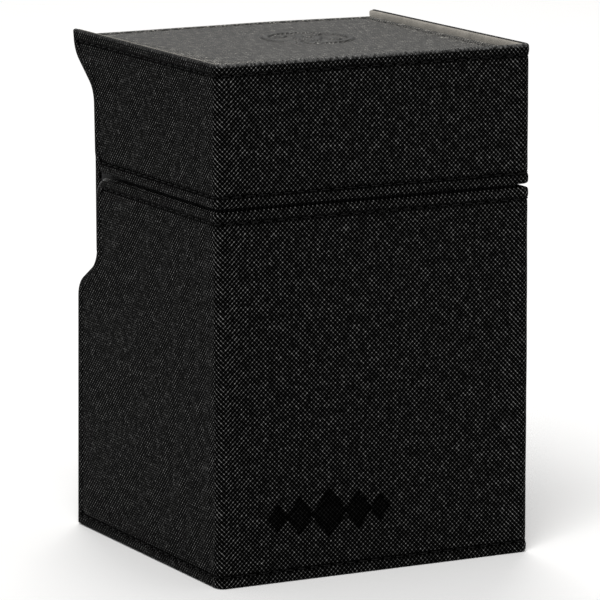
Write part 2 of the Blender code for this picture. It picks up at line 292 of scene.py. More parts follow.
def resampled(line, pitch, closed=True):
    """Points at even distances along a line, and the distances."""
    if closed:
        line = np.vstack([line, line[:1]])
    travelled = np.concatenate([[0.0], np.cumsum(np.linalg.norm(np.diff(line, axis=0), axis=1))])
    count = max(2, round(travelled[-1] / pitch))
    places = np.linspace(0.0, travelled[-1], count, endpoint=not closed)
    return np.stack([np.interp(places, travelled, axis) for axis in line.T], axis=-1), places


def unevenness(across, up):
    """Slow waves of a hand-stretched face."""
    waves = np.sin(across / 9.1 + 0.4) * np.sin(up / 12.7 + 1.1)
    waves = waves + 0.6 * np.sin(across / 4.3 + up / 6.1) * np.sin(up / 5.2 - across / 13.0)
    return WAVE * waves


def both_sides(*values):
    """Values of a lattice of points, given to the outer and the inner face of its shell."""
    return np.tile(np.stack(values, axis=-1).reshape(-1, len(values)), (2, 1))


def hem(distance, along, sewn=1.0):
    """Height of the leather over its flat face near an edge: roll, puffy band, sewn groove."""
    short = np.clip(ROLL_RADIUS - distance, 0.0, ROLL_RADIUS)
    roll = ROLL_RADIUS - np.sqrt(ROLL_RADIUS**2 - short**2)
    band = HEM_RISE * np.sin(np.pi * np.clip(distance / HEM, 0.0, 1.0))
    pull = 1.0 + 0.25 * np.cos(2 * np.pi * along / (STITCH + STITCH_GAP))
    groove = sewn * GROOVE_DEPTH * pull * np.exp(-(((distance - HEM) / GROOVE_WIDTH) ** 2))
    sink = FIELD_SINK * np.exp(-np.clip(distance - HEM, 0.0, None) / 1.1) * (distance > HEM)
    return band - roll - groove - sink


def finish_of(distance, pressed, painted_rim_shade=0.0, pale=0.0, sewn=1.0):
    """Per-point (pressed flat, painted shade in grooves and along rims and edges, painted highlight) that the
    leather's material reads.
    """
    # Painted shade in the sewn groove.
    painted_shade = sewn * np.exp(-(((distance - HEM) / GROOVE_SHADE_WIDTH) ** 2))
    return both_sides(pressed, np.maximum(painted_shade, painted_rim_shade), pale + 0.0 * distance)


# ---------------------------------------------------------------- meshes


def quads(rows, columns, wrap_rows=False, wrap_columns=False):
    """Faces of a lattice of points, joined round where asked."""
    index = np.arange(rows * columns).reshape(rows, columns)
    if wrap_rows:
        index = np.vstack([index, index[:1]])
    if wrap_columns:
        index = np.hstack([index, index[:, :1]])
    corners = index[:-1, :-1], index[:-1, 1:], index[1:, 1:], index[1:, :-1]
    return np.stack(corners, axis=-1).reshape(-1, 4)


def shell(outer, inner):
    """Points and faces of a closed shell between two lattices of the same size."""
    rows, columns = outer.shape[:2]
    count = rows * columns
    index = np.arange(count).reshape(rows, columns)
    border = np.concatenate([index[0], index[1:, -1], index[-1, -2::-1], index[-2:0:-1, 0]])
    after = np.roll(border, -1)
    faces = quads(rows, columns)
    rim = np.stack([border, border + count, after + count, after], axis=-1)
    points = np.concatenate([outer.reshape(-1, 3), inner.reshape(-1, 3)])
    return points, np.concatenate([faces, faces[:, ::-1] + count, rim])


def piece(name, points, faces, material, sharp, **layers):
    """A mesh object whose points carry named values, such as their place on the flat cloth."""
    mesh = bpy.data.meshes.new(name)
    mesh.from_pydata(((points + (0.0, FRONT_Y / MM, 0.0)) * MM).tolist(), [], list(faces))
    for label, values in layers.items():
        layer = mesh.attributes.new(label, "FLOAT_VECTOR", "POINT")
        padded = np.zeros((len(points), 3), np.float32)
        padded[:, : values.shape[-1]] = values.reshape(len(points), -1)
        layer.data.foreach_set("vector", padded.ravel())
    mesh.materials.append(material)
    mesh.shade_smooth()
    mesh.set_sharp_from_angle(angle=math.radians(sharp))
    made = bpy.data.objects.new(name, mesh)
    bpy.context.scene.collection.objects.link(made)
    return made


def belongs(made, body, slot, *nodes):
    """Hangs a piece on its body and hides the CAD nodes that it stands for; slot is not used."""
    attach(made, body)
    if nodes:
        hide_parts(*nodes)
    return made


def stitches(name, path, place, depth, material, closed=True):
    """A row of short sewn stitches that dip into the leather at both ends."""
    places = resampled(path, STITCH + STITCH_GAP, closed)[1]
    fine, marks = resampled(path, THREAD_STEP, closed)
    reach = np.linspace(-0.5, 0.5, 6)
    lift = np.array([-1.0, 0.55, 1.0, 1.0, 0.55, -1.0]) * THREAD
    width = np.array([0.45, 0.9, 1.0, 1.0, 0.9, 0.45]) * THREAD
    around = np.linspace(0.0, 2 * np.pi, 6, endpoint=False)
    points, faces = [], []
    period = marks[-1] + (marks[1] if closed else 0.0)
    for start in places if closed else places[:-1]:
        here = start + (STITCH + STITCH_GAP) / 2 + reach * STITCH
        spots = [np.interp(here, marks, axis, period=period if closed else None) for axis in fine.T]
        spots = np.stack(spots, axis=-1)
        low, high = place(spots, depth), place(spots, depth + 1.0)
        normal = high - low
        along = np.gradient(low, axis=0)
        along /= np.linalg.norm(along, axis=1)[:, None]
        across = np.cross(along, normal)
        first = len(points) * len(around)
        for k in range(len(reach)):
            turned = np.outer(np.cos(around), across[k]) + np.outer(np.sin(around), normal[k])
            points.append(low[k] + normal[k] * lift[k] + width[k] * turned)
        rows = quads(len(reach), len(around), wrap_columns=True) + first
        faces += rows.tolist()
        end = first + (len(reach) - 1) * len(around)
        faces.append(list(range(first + len(around) - 1, first - 1, -1)))
        faces.append(list(range(end, end + len(around))))
    points = np.concatenate(points)
    return piece(name, points, faces, material, 80.0)


# ---------------------------------------------------------------- covers


def around(flat, z, out):
    """Where a point of a flat cover goes: round from the front's middle, up, and outwards."""
    side = np.sign(flat)
    reach = np.abs(flat)
    turn = np.clip((reach - FLAT_HALF) / CORNER, 0.0, math.pi / 2)
    run = np.clip(reach - WRAP_END, 0.0, None)
    x = side * (np.minimum(reach, FLAT_HALF) + (CORNER + out) * np.sin(turn))
    y = CORNER - (CORNER + out) * np.cos(turn) + run
    return np.stack([x, y, z + 0.0 * x], axis=-1)


def unrolled(wing):
    """A cover's outline laid flat, counter-clockwise, and its right-hand rear edge."""
    outline = rounded(wing)
    edge = outline[outline[:, 0] > CORNER] + (WRAP_END - CORNER, 0.0)
    return np.vstack([edge, edge[::-1] * (-1.0, 1.0)]), edge


def cover_lattice(wing, heights, front, hem_steps):
    """Flat places of a cover's points: rows by height, columns round from wing to wing."""
    outline, edge = unrolled(wing)
    rows = []
    for z in heights:
        rear = np.interp(z, edge[:, 1], edge[:, 0])
        near = rear - hem_steps
        middle = np.linspace(near[-1], WRAP_END, 14)[1:]
        bend = np.linspace(WRAP_END, FLAT_HALF, 9)[1:]
        half = np.concatenate([near, middle, bend])
        rows.append(np.concatenate([-half, front, half[::-1]]))
    flat = np.array(rows)
    return outline, flat, heights[:, None] + 0.0 * flat


def rubbed(flat):
    """Which family of threads stands higher near a vertical corner, from -1 to 1; the material also paints
    that family lighter, a painted highlight.
    """
    past = np.abs(flat) - FLAT_HALF - 0.4
    return both_sides(np.sign(flat) * np.tanh(past / 0.8) * np.exp(-np.abs(past) / 3.2))


def cover_leather(name, wing, heights, front, press, painted_edge_highlight):
    """The woven cover: front and both wings, with rolled edges, hems and sewn grooves."""
    outline, flat, up = cover_lattice(wing, heights, front, steps(
        (0.0, ROLL_SPAN, ROLL_STEP), (ROLL_SPAN, 7.0, HEM_STEP),
    ))
    distance, along = to_outline(outline, flat, up)
    pressed, painted_rim_shade, pale, relief = press(flat, up)
    # Painted highlight on the rolled edges only.
    pale = np.maximum(pale, painted_edge_highlight(flat, up) * (1.0 - smooth(distance, 0.1, 0.8)))
    field = smooth(distance, HEM, HEM + 6.0)
    level = np.minimum(up - heights[0], heights[-1] - up)
    across = smooth(level, 0.0, 2 * HEM) * smooth(level - distance, 0.2, 1.4)
    sewn = 1.0 - across
    shallow = 1.0 - 0.6 * np.exp(-(((np.abs(flat) - CORNER_MIDDLE) / 2.5) ** 2))
    height = hem(distance, along, sewn * shallow) + relief + unevenness(flat, up) * field
    underside = -LEATHER - hem(np.minimum(distance, ROLL_RADIUS), 0.0 * along) * (distance < ROLL_RADIUS)
    points, faces = shell(around(flat, up, height), around(flat, up, underside))
    finish = finish_of(distance, pressed, painted_rim_shade, pale, sewn)
    return piece(name, points, faces, WOVEN, 70.0, cloth=both_sides(flat, up), finish=finish,
                 rubbed=rubbed(flat))


def cover_lining(name, wing, heights, insets):
    """The lining cloth on the cover's inner side, padded and rounded at its edges."""
    thickness = HALF_WIDTH - LEATHER - CLEAR - LINING_INNER
    low, high = wing[0][1] + insets[0], wing[-1][1] - insets[1]
    corners = [(y - REAR_INSET * (y > WAIST_Y / 2), min(max(z, low), high), r) for y, z, r in wing]
    heights = low + (heights - heights[0]) / (heights[-1] - heights[0]) * (high - low)
    outline, flat, up = cover_lattice(corners, heights, steps((-34.0, 34.0, 4.0)), steps((0.0, 2.2, 0.22)))
    distance, along = to_outline(outline, flat, up)
    bulge = np.sqrt(1.0 - (1.0 - np.clip(distance / 1.5, 0.0, 1.0)) ** 2)
    outer = -LEATHER - CLEAR - 0.2 * (1.0 - bulge)
    inner = outer - 0.05 - (thickness - 0.05) * bulge * (1.0 + 0.05 * np.sin(along / 2.3))
    points, faces = shell(around(flat, up, outer), around(flat, up, inner))
    return piece(name, points, faces, LINING, 70.0, cloth=both_sides(flat, up))


def flat_cut(outline):
    """Width, height and area of a flat outline, in metres."""
    after = np.roll(outline, -1, axis=0)
    area = abs((outline[:, 0] * after[:, 1] - outline[:, 1] * after[:, 0]).sum()) / 2
    width, height = np.ptp(outline, axis=0)
    return width * MM, height * MM, area * MM * MM


def cover_threads(body, wing):
    """The stitches in a cover's two grooves, from wing to wing."""
    edge = unrolled(wing)[1]

    def place(spots, out):
        return around(spots[:, 0], spots[:, 1], out)

    for end, z in (("low", wing[0][1] + HEM), ("high", wing[-1][1] - HEM)):
        reach = np.interp(z, edge[:, 1], edge[:, 0]) - HEM
        path = np.array([(-reach, z), (reach, z)])
        name = body + "_cover_thread_" + end
        thread = stitches(name, path, place, THREAD_DEPTH, THREAD_FINISH, closed=False)
        belongs(thread, body, "woven_leatherette")


def no_press(across, up):
    """No mark: nothing pressed, no painted shade or painted highlight, and no height."""
    return np.zeros((4, *across.shape))


def lid_painted_highlight(flat, up):
    """Painted highlight rising towards the lid's upper edge, stronger on the front."""
    front = 1.0 - smooth(np.abs(flat), FLAT_HALF, WRAP_END)
    return (0.15 + 0.25 * front) * smooth(up, LID_LOW[2] + 8.0, LID_HIGH[2] - 4.0)


def body_painted_highlight(flat, up):
    """Painted highlight only on the rounded corners at the rear of the split."""
    past = np.hypot(np.abs(flat) - WRAP_END + CORNER - BODY_WING[4][0] + 1.5, up - BODY_HIGH[2] + 1.5)
    return np.exp(-((past / 3.5) ** 2))


def front_mark(flat, up):
    """Lozenges pressed into the front: pressed flat, painted shade along their rims, nothing pale, and their
    height.
    """
    pressed = 0.0 * flat
    painted_rim_shade = 0.0 * flat
    ridge = 0.0 * flat
    for offset, half_width, half_height in MARK_LOZENGES:
        across = np.abs(flat - MARK_X - offset) / half_width
        high = np.abs(up - MARK_Z) / half_height
        reach = (across + high - 1.0) * half_width * half_height / math.hypot(half_width, half_height)
        inside = 1.0 - smooth(reach, -0.30, 0.05)
        pressed = np.maximum(pressed, inside)
        # Painted shade along each lozenge's rim.
        painted_rim_shade = np.maximum(painted_rim_shade, np.exp(-(((reach + 0.1) / 0.22) ** 2)))
        ridge = np.maximum(ridge, np.exp(-(((reach + 1.5) / 0.28) ** 2)))
    return pressed, painted_rim_shade, 0.0 * flat, -MARK_DEPTH * pressed + 0.18 * ridge


def body_heights():
    """Heights of the body cover's rows: close at the hems, the mark and the wings' curves."""
    top = BODY_HIGH[2]
    return steps(
        (0.0, ROLL_SPAN, ROLL_STEP), (ROLL_SPAN, HEM_SPAN, HEM_STEP), (HEM_SPAN, 8.0, 1.5),
        (8.0, 20.6, MARK_STEP), (20.6, 50.0, 2.0), (50.0, 68.0, 0.55), (68.0, 74.5, 1.5),
        (74.5, top - HEM_SPAN, 0.45), (top - HEM_SPAN, top - ROLL_SPAN, HEM_STEP),
        (top - ROLL_SPAN, top, SPLIT_STEP),
    )


def lid_heights():
    """Heights of the lid cover's rows."""
    low, top = LID_LOW[2], LID_HIGH[2]
    return steps(
        (low, low + ROLL_SPAN, SPLIT_STEP), (low + ROLL_SPAN, low + 6.5, HEM_STEP),
        (low + 6.5, 96.0, 1.5), (96.0, top - HEM_SPAN, 0.5),
        (top - HEM_SPAN, top - ROLL_SPAN, HEM_STEP), (top - ROLL_SPAN, top, ROLL_STEP),
    )


def lining_heights(wing):
    """Heights of a cover lining's rows."""
    low, top = wing[0][1], wing[-1][1]
    return steps((low, low + 1.6, 0.25), (low + 1.6, top - 1.6, 0.9), (top - 1.6, top, 0.25))


def covers():
    """Both covers, with their linings and stitches."""
    mark_columns = steps((-34.9, MARK_X - 16.5, 2.0), (MARK_X - 16.5, MARK_X + 16.5, MARK_STEP),
                         (MARK_X + 16.5, 34.9, 2.0))
    leather = cover_leather(
        "body_cover_leather", BODY_WING, body_heights(), mark_columns, front_mark, body_painted_highlight,
    )
    belongs(leather, "body", "woven_leatherette", "body_wrap")
    leather = cover_leather(
        "lid_cover_leather", LID_WING, lid_heights(), steps((-34.9, 34.9, 1.2)), no_press, lid_painted_highlight,
    )
    belongs(leather, "lid", "woven_leatherette", "lid_wrap")
    for body, wing, insets in (
        ("body", BODY_WING, (END_INSET, SPLIT_INSET)), ("lid", LID_WING, (SPLIT_INSET, END_INSET)),
    ):
        lining = cover_lining(body + "_cover_lining", wing, lining_heights(wing), insets)
        belongs(lining, body, "grey_lining", body + "_wrap_lining")
        width, height, area = flat_cut(unrolled(wing)[0])
        cover_threads(body, wing)


# ---------------------------------------------------------------- panels


def panel(name, low, high, columns, rows, material, relief, lift, down=False):
    """A flat leather panel with a puffy border and a sewn groove."""
    across, back = np.meshgrid(columns, rows)
    outline = rounded((
        (low[0], low[1], PANEL_CORNER), (high[0], low[1], PANEL_CORNER),
        (high[0], high[1], PANEL_CORNER), (low[0], high[1], PANEL_CORNER),
    ))
    distance, along = to_outline(outline, across, back)
    pressed, painted_rim_shade, pale, mark = relief(across, back)
    # Painted shade along the panel's edges, where it meets the covers.
    painted_rim_shade = np.maximum(painted_rim_shade, 1.0 - smooth(distance, 0.2, 0.6))
    pressed = np.maximum(pressed, 0.5 * smooth(distance, HEM, HEM + 3.0))
    height = hem(distance, along) + 0.6 * unevenness(across, back) + mark + lift(across, back)
    face, level, floor = (-1.0, low[2], high[2]) if down else (1.0, high[2], low[2])
    top = np.stack([across, back, level + face * height], axis=-1)
    under = top.copy()
    under[..., 2] = floor + face * 0.5 * ROLL_RADIUS * (1.0 - smooth(distance, 0.0, 0.6))
    points, faces = shell(top, under)
    if down:
        faces = faces[:, ::-1]
    made = piece(name, points, faces, material, 70.0, cloth=both_sides(across, back),
                 finish=finish_of(distance, pressed, painted_rim_shade, pale))
    return made, outline


def emblem(across, back):
    """A raised ring with a lozenge and four short bars inside it, with painted shade along their rims."""
    x, y = across - EMBLEM_X, back - EMBLEM_Y
    radius = np.hypot(x, y)
    ring = 1.0 - smooth(np.abs(radius - EMBLEM_RADIUS), 0.55, 1.0)
    lozenge = np.abs(x) / 3.4 + np.abs(y) / 5.4
    core = 1.0 - smooth(np.abs(lozenge - 0.75), 0.22, 0.40)
    bar = 1.0 - smooth(np.minimum(np.abs(x + y), np.abs(x - y)), 0.9, 1.5)
    bar = bar * smooth(radius, 4.9, 5.4) * (1.0 - smooth(radius, 7.4, 7.9))
    raised = np.maximum(np.maximum(ring, core), bar)
    # Painted shade along the raised shapes' rims.
    rim = np.clip(4.0 * raised * (1.0 - raised), 0.0, 1.0)
    return raised, 0.8 * rim, 0.0 * raised, EMBLEM_RISE * raised


def level_lift(across, back):
    """No lift: the panel is level."""
    return 0.0 * across


def top_lift(across, back):
    """The top board bows up along its left side and drops a little along the right."""
    left = LEFT_RISE * (1.0 - smooth(across, PANEL_LOW[0] + HEM, 8.0))
    left = left * (1.0 - LEFT_FADE * smooth(back, DEPTH / 3, REAR_Y))
    right = RIGHT_DROP * smooth(across, 8.0, PANEL_HIGH[0])
    return left - right + REAR_RISE * smooth(back, DEPTH / 2, DEPTH)


def edge_steps(low, high, *fine):
    """Values close together near both ends and in the given span, and wide apart elsewhere."""
    stops = [(low, low + ROLL_SPAN, ROLL_STEP), (low + ROLL_SPAN, low + 4.0, HEM_STEP)]
    here = low + 4.0
    for start, end in fine:
        stops += [(here, start, 1.6), (start, end, MARK_STEP)]
        here = end
    stops += [(here, high - 4.0, 1.6), (high - 4.0, high - ROLL_SPAN, HEM_STEP)]
    return steps(*stops, (high - ROLL_SPAN, high, ROLL_STEP))


def top_panel():
    """The sunk top panel with its emblem and a pale stitched border."""
    reach = EMBLEM_RADIUS + 1.6
    low = PANEL_LOW - (PANEL_SPREAD, 0.0, 0.0)
    high = PANEL_HIGH + (PANEL_SPREAD, 0.0, 0.0)
    columns = edge_steps(low[0], high[0], (EMBLEM_X - reach, EMBLEM_X + reach))
    rows = edge_steps(low[1], high[1], (EMBLEM_Y - reach, EMBLEM_Y + reach))
    made, outline = panel("lid_top_leather", low, high, columns, rows, TOP_LEATHER_PAINTED_SHEEN, emblem, top_lift)
    belongs(made, "lid", "smooth_leatherette", "lid_top_panel")

    def place(spots, out):
        return np.column_stack([spots, high[2] + out + top_lift(spots[:, 0], spots[:, 1])])

    thread = stitches("lid_top_thread", inset_outline(outline, HEM), place, THREAD_DEPTH, PALE_THREAD)
    belongs(thread, "lid", "smooth_leatherette")


def base_panel():
    """The panel that the box stands on, facing down, with a stitched border."""
    columns = edge_steps(BASE_LOW[0], BASE_HIGH[0])
    rows = edge_steps(BASE_LOW[1], BASE_HIGH[1])
    low = BASE_LOW + (0.0, 0.0, BASE_RECESS)
    made, outline = panel(
        "base_leather", low, BASE_HIGH, columns, rows, SMOOTH, no_press, level_lift, down=True,
    )
    belongs(made, "body", "smooth_leatherette", "base_panel")

    def place(spots, out):
        return np.column_stack([spots, np.full(len(spots), low[2] - out)])

    thread = stitches("base_thread", inset_outline(outline, HEM), place, THREAD_DEPTH, THREAD_FINISH)
    belongs(thread, "body", "smooth_leatherette")


# ---------------------------------------------------------------- back and folds


def back_section(bare):
    """Half widths and depths across the back, right to left, turned forward at both sides."""
    flat = INNER_HALF - 0.1 + 0.4 * bare - BACK_CORNER
    turn = np.linspace(math.pi / 2, 0.0, 6)[1:]
    inward = 1.0 - steps((0.0, 0.12, 0.0095), (0.12, 1.0, 0.074))[1:]
    reach = np.concatenate([np.full(5, flat + BACK_CORNER), flat + BACK_CORNER * np.sin(turn), flat * inward])
    flange = np.linspace(0.15 + 1.55 * bare, 0.0, 5) + BACK_CORNER
    sink = np.concatenate([flange, BACK_CORNER * (1.0 - np.cos(turn)), 0.0 * inward])
    half = np.stack([reach, sink], axis=-1)
    return np.vstack([half, half[-2::-1] * (-1.0, 1.0)])


def back_leather(name, corners, bare_span, hemmed):
    """The leather on the back, turned forward round its sides where the wings leave it bare.

    Hemmed says whether the lower and the upper end have a sewn border.
    """
    line, travelled = resampled(rounded(corners), 0.5, closed=False)
    ahead = np.gradient(line, axis=0)
    normal = np.stack([ahead[:, 1], -ahead[:, 0]], axis=-1) / np.hypot(*ahead.T)[:, None]
    low, high = bare_span
    bare = smooth(line[:, 1], low, low + 1.5) * (1.0 - smooth(line[:, 1], high - 1.5, high))
    section = np.array([back_section(value) for value in bare])
    reach, sink = section[..., 0], section[..., 1]
    along_line = travelled[:, None] + 0.0 * reach
    ends = [travelled[0], travelled[-1]]
    ends = [end if sewn else end + far for end, sewn, far in zip(ends, hemmed, (-FAR, FAR))]
    outline = np.array([
        (-INNER_HALF, ends[0]), (INNER_HALF, ends[0]), (INNER_HALF, ends[1]), (-INNER_HALF, ends[1]),
    ])
    distance, along = to_outline(outline, np.clip(reach, -INNER_HALF, INNER_HALF), along_line)
    on_flange = sink > 0.01
    distance = np.where(on_flange, FAR, distance)
    height = 0.8 * hem(distance, along) + 0.5 * unevenness(reach, along_line) * smooth(distance, 1.0, 5.0)
    height = np.where(on_flange, 0.0, height)

    def placed(out):
        """Moves the section's points outwards: sideways on the flanges, backwards on the face."""
        slope, dive = np.abs(np.gradient(reach, axis=1)), np.abs(np.gradient(sink, axis=1))
        length = np.hypot(slope, dive)
        depth = -sink + out * slope / length
        x = reach + out * dive / length * np.sign(reach)
        y = line[:, :1] + normal[:, :1] * depth
        up = line[:, 1:] + normal[:, 1:] * depth
        return np.stack([x, y, up], axis=-1)[:, ::-1]

    points, faces = shell(placed(height), placed(0.0 * height - BACK_LEATHER))
    cloth = both_sides((reach + np.sign(reach) * sink)[:, ::-1], along_line[:, ::-1])
    finish = finish_of(distance[:, ::-1], 0.0 * distance)
    made = piece(name, points, faces, WOVEN, 60.0, cloth=cloth, finish=finish)
    return made, line, travelled, normal


def back_thread(name, line, travelled, normal, start, stop):
    """Stitches along both sides of a back leather, from a fold line, and across the other end."""
    reach = INNER_HALF - HEM
    path = np.array([(-reach, start), (-reach, stop), (reach, stop), (reach, start)])
    if start > stop:
        path = path[::-1]

    def place(spots, out):
        y = np.interp(spots[:, 1], travelled, line[:, 0])
        up = np.interp(spots[:, 1], travelled, line[:, 1])
        away = np.stack([np.interp(spots[:, 1], travelled, axis) for axis in normal.T], axis=-1)
        return np.column_stack([spots[:, 0], y + away[:, 0] * out, up + away[:, 1] * out])

    return stitches(name, path, place, THREAD_DEPTH, THREAD_FINISH, closed=False)


def fold(made, height):
    """Takes a piece off its parent and bakes its transform into its mesh; height is not used."""
    made.parent = None
    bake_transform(made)


def stretched(made, half, length, beneath, *others):
    """Makes a list of the boards beneath a sheet and does nothing more; the sheet is not used."""
    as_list(beneath)


def backs():
    """Two leathers that meet inside the spine, each bending over one fold line."""
    made, line, travelled, normal = back_leather(
        "body_back_leather", BODY_BACK, (BODY_BARE, FAR + DEPTH), (True, False),
    )
    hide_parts("body_rear_panel", "spine_skin")
    stretched(made, INNER_HALF, travelled[-1], ["body_rear_filler", "spine_board"])
    fold(made, FOLD_Z[0])
    start = np.interp(FOLD_Z[0] - FOLD_MARGIN, line[:, 1], travelled)
    thread = back_thread("body_back_thread", line, travelled, normal, start, travelled[0] + HEM)
    belongs(thread, "body", "woven_leatherette")

    made, line, travelled, normal = back_leather(
        "lid_back_leather", LID_BACK, (0.0, LID_BARE), (False, True),
    )
    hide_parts("lid_rear_panel")
    stretched(made, INNER_HALF, travelled[-1], ["lid_rear_filler", "spine_board"])
    fold(made, FOLD_Z[1])
    start = np.interp(FOLD_Z[1] + FOLD_MARGIN, line[:, 1], travelled)
    thread = back_thread("lid_back_thread", line, travelled, normal, start, travelled[-1] - HEM)
    belongs(thread, "lid", "woven_leatherette")


def strip_lining(name, heights, near):
    """A thin lining strip behind the inner box, padded a little and rounded at its edges."""
    half = INNER_HALF - LINING_SIDE
    columns = steps((-half, 0.8 - half, 0.2), (0.8 - half, half - 0.8, 3.0), (half - 0.8, half, 0.2))
    across, up = np.meshgrid(columns, heights)
    edge = smooth(half - np.abs(across), 0.0, 0.6)
    front = np.interp(up, *near) + 0.12 * (1.0 - edge)
    back = np.interp(up, *near) + 0.3 - 0.12 * (1.0 - edge)
    points, faces = shell(
        np.stack([across, front, up], axis=-1), np.stack([across, back, up], axis=-1),
    )
    return piece(name, points, faces, MICROFIBRE, 70.0, cloth=both_sides(across, up))


def spine_linings():
    """Two strips of lining behind the inner box, which meet inside the spine."""
    start, end = LINING_SPAN
    plane = SPINE_LINING_LOW[1] - 0.05
    near = (
        (SPINE_LINING_LOW[2], SEAM_Z, FOLD_Z[1], FOLD_Z[1] + 1.0),
        (plane, plane + 0.03, plane, REAR_BOARD_LOW[1] - 0.37),
    )
    low = strip_lining("spine_lining_cloth", steps((start, 78.0, 0.2), (78.0, SEAM_Z, 1.5)), near)
    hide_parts("spine_lining")
    fold(low, FOLD_Z[0] + 0.35)
    heights = steps((SEAM_Z, 88.0, 1.5), (88.0, 91.0, 0.2), (91.0, end, 1.4))
    high = strip_lining("lid_rear_lining_cloth", heights, near)
    stretched(high, INNER_HALF - LINING_SIDE, end - SEAM_Z, ["spine_board", "lid_rear_board"], low)
    fold(high, FOLD_Z[1])


# ---------------------------------------------------------------- inner box


def ring(half, front, rear, radius, count=8):
    """A closed plan loop: a rectangle with rounded corners, the same number of points each time."""
    arcs = []
    for x, y, start in ((half, front, -90), (half, rear, 0), (-half, rear, 90), (-half, front, 180)):
        centre = x - math.copysign(radius, x), y + (radius if y == front else -radius)
        angles = np.radians(start + np.linspace(0.0, 90.0, count))
        arcs.append(centre + radius * np.column_stack([np.cos(angles), np.sin(angles)]))
    loop = []
    for arc, following in zip(arcs, arcs[1:] + arcs[:1]):
        loop += [arc, np.linspace(arc[-1], following[0], SIDE_POINTS)[1:-1]]
    return np.concatenate(loop)


def rim_height(back):
    """Height of the inner box's rim, which steps up towards the rear."""
    line = rounded(TRAY_RIM)
    return np.interp(back, line[:, 0], line[:, 1])


def ringed(name, rows, material, closed):
    """A soft shell made of stacked rings; each row is (half, front, rear, radius, height)."""
    points, cloth = [], []
    travelled = 0.0
    last = None
    for half, front, rear, radius, height in rows:
        loop = ring(half, front, rear, radius)
        z = height(loop[:, 1]) if callable(height) else np.full(len(loop), height)
        here = np.column_stack([loop, z])
        if last is not None:
            travelled += np.linalg.norm(here - last, axis=1).mean()
        last = here
        length = np.concatenate([[0.0], np.cumsum(np.linalg.norm(np.diff(here, axis=0), axis=1))])
        points.append(here)
        cloth.append(np.column_stack([length, np.full(len(loop), travelled)]))
    count = len(points[0])
    faces = quads(len(points), count, wrap_rows=closed, wrap_columns=True).tolist()
    if not closed:
        faces.append(list(range(count - 1, -1, -1)))
        end = (len(points) - 1) * count
        faces.append(list(range(end, end + count)))
    return piece(name, np.concatenate(points), faces, material, 60.0, cloth=np.concatenate(cloth))


def over_rim(rise):
    """A ring's height: the given distance above the rim all round."""
    return lambda back: rim_height(back) + rise


def tray():
    """The inner box's outer covering, which rolls over the board's rim, and its lining."""
    half, front, rear = TRAY_HIGH[0], TRAY_LOW[1], TRAY_HIGH[1]
    bottom = TRAY_LOW[2]
    rows = []
    for offset, height in (
        (0.0, bottom), (0.0, bottom + 40.0), (0.0, over_rim(-3.0)), (0.0, over_rim(-0.1)),
        (0.06, over_rim(0.12)), (0.2, over_rim(0.3)), (0.45, over_rim(0.42)), (1.1, over_rim(0.46)),
        (1.6, over_rim(0.38)), (1.82, over_rim(0.2)), (1.86, over_rim(0.06)), (1.7, over_rim(0.05)),
        (0.36, over_rim(0.05)), (0.3, over_rim(-0.2)), (0.3, bottom + 40.0), (0.3, bottom),
    ):
        rows.append((half - offset, front + offset, rear - offset, 1.0 - min(offset, 0.8) * 0.8, height))
    skin = ringed("tray_covering", rows, MICROFIBRE, closed=True)
    skin.data.flip_normals()
    belongs(skin, "body", "dark_microfibre", "tray_skin")

    half, front, rear = TRAY_LINING_HIGH[0], TRAY_LINING_LOW[1], TRAY_LINING_HIGH[1]
    floor = TRAY_LINING_LOW[2]
    rows = []
    for offset, height, radius in (
        (20.0, floor, 1.0), (0.5, floor, 1.0), (0.1, floor + 0.1, 1.0), (0.0, floor + 0.6, 1.0),
        (0.0, floor + 40.0, 1.0), (0.0, over_rim(-1.0), 1.0), (0.0, over_rim(0.05), 1.0),
        (0.08, over_rim(0.2), 1.0), (0.22, over_rim(0.24), 1.0), (0.42, over_rim(0.1), 1.2),
        (0.5, over_rim(-0.4), 1.4), (0.42, over_rim(-2.0), 1.4), (0.42, floor + 40.0, 1.4),
        (0.45, floor + 4.0, 1.6), (0.6, floor + 1.9, 1.7), (1.1, floor + 0.9, 1.7),
        (2.0, floor + 0.5, 1.7), (4.0, floor + 0.42, 1.7), (20.0, floor + 0.45, 1.7),
    ):
        rows.append((half - offset, front + offset, rear - offset, radius, height))
    lining = ringed("tray_lining_cloth", rows, MICROFIBRE, closed=False)
    belongs(lining, "body", "dark_microfibre", "tray_lining")


def lid_inside():
    """The lid's lining, which rolls round the lower edge of its frame."""
    half, front, rear = LID_LINING_HIGH[0], LID_LINING_LOW[1], LID_LINING_HIGH[1]
    top = LID_LINING_HIGH[2]
    low = LID_BOARD_LOW[2]
    outer_half, outer_front = LID_BOARD_HIGH[0], LID_BOARD_LOW[1]
    rows = [(half - o, front + o, rear - o, r, z) for o, r, z in (
        (20.0, 1.0, top), (0.5, 1.0, top), (0.1, 1.0, top - 0.1), (0.0, 1.0, top - 0.5),
        (0.0, 1.0, low + 4.0), (0.0, 1.0, low - 0.05),
    )]
    rows += [
        (outer_half - 0.2, outer_front + 0.2, rear, 1.0, low - 0.06),
        (outer_half, outer_front, rear, 1.0, low - 0.2),
        (outer_half - 0.15, outer_front + 0.15, rear - 0.02, 1.0, low - 0.42),
        (outer_half - 0.6, outer_front + 0.6, rear - 0.08, 1.0, low - 0.5),
        (half, front, rear - 0.2, 1.2, low - 0.48),
    ]
    rows += [(half - o, front + o, rear - o, r, z) for o, r, z in (
        (0.25, 1.3, low - 0.34), (0.42, 1.4, low), (0.45, 1.4, low + 1.0), (0.40, 1.4, low + 5.0),
        (0.42, 1.5, top - 3.0), (0.6, 1.7, top - 1.8), (1.1, 1.7, top - 0.9), (2.0, 1.7, top - 0.5),
        (4.0, 1.7, top - 0.42), (20.0, 1.7, top - 0.45),
    )]
    lining = ringed("lid_lining_cloth", rows, MICROFIBRE, closed=False)
    lining.data.flip_normals()
    belongs(lining, "lid", "dark_microfibre", "lid_lining")


# ---------------------------------------------------------------- materials


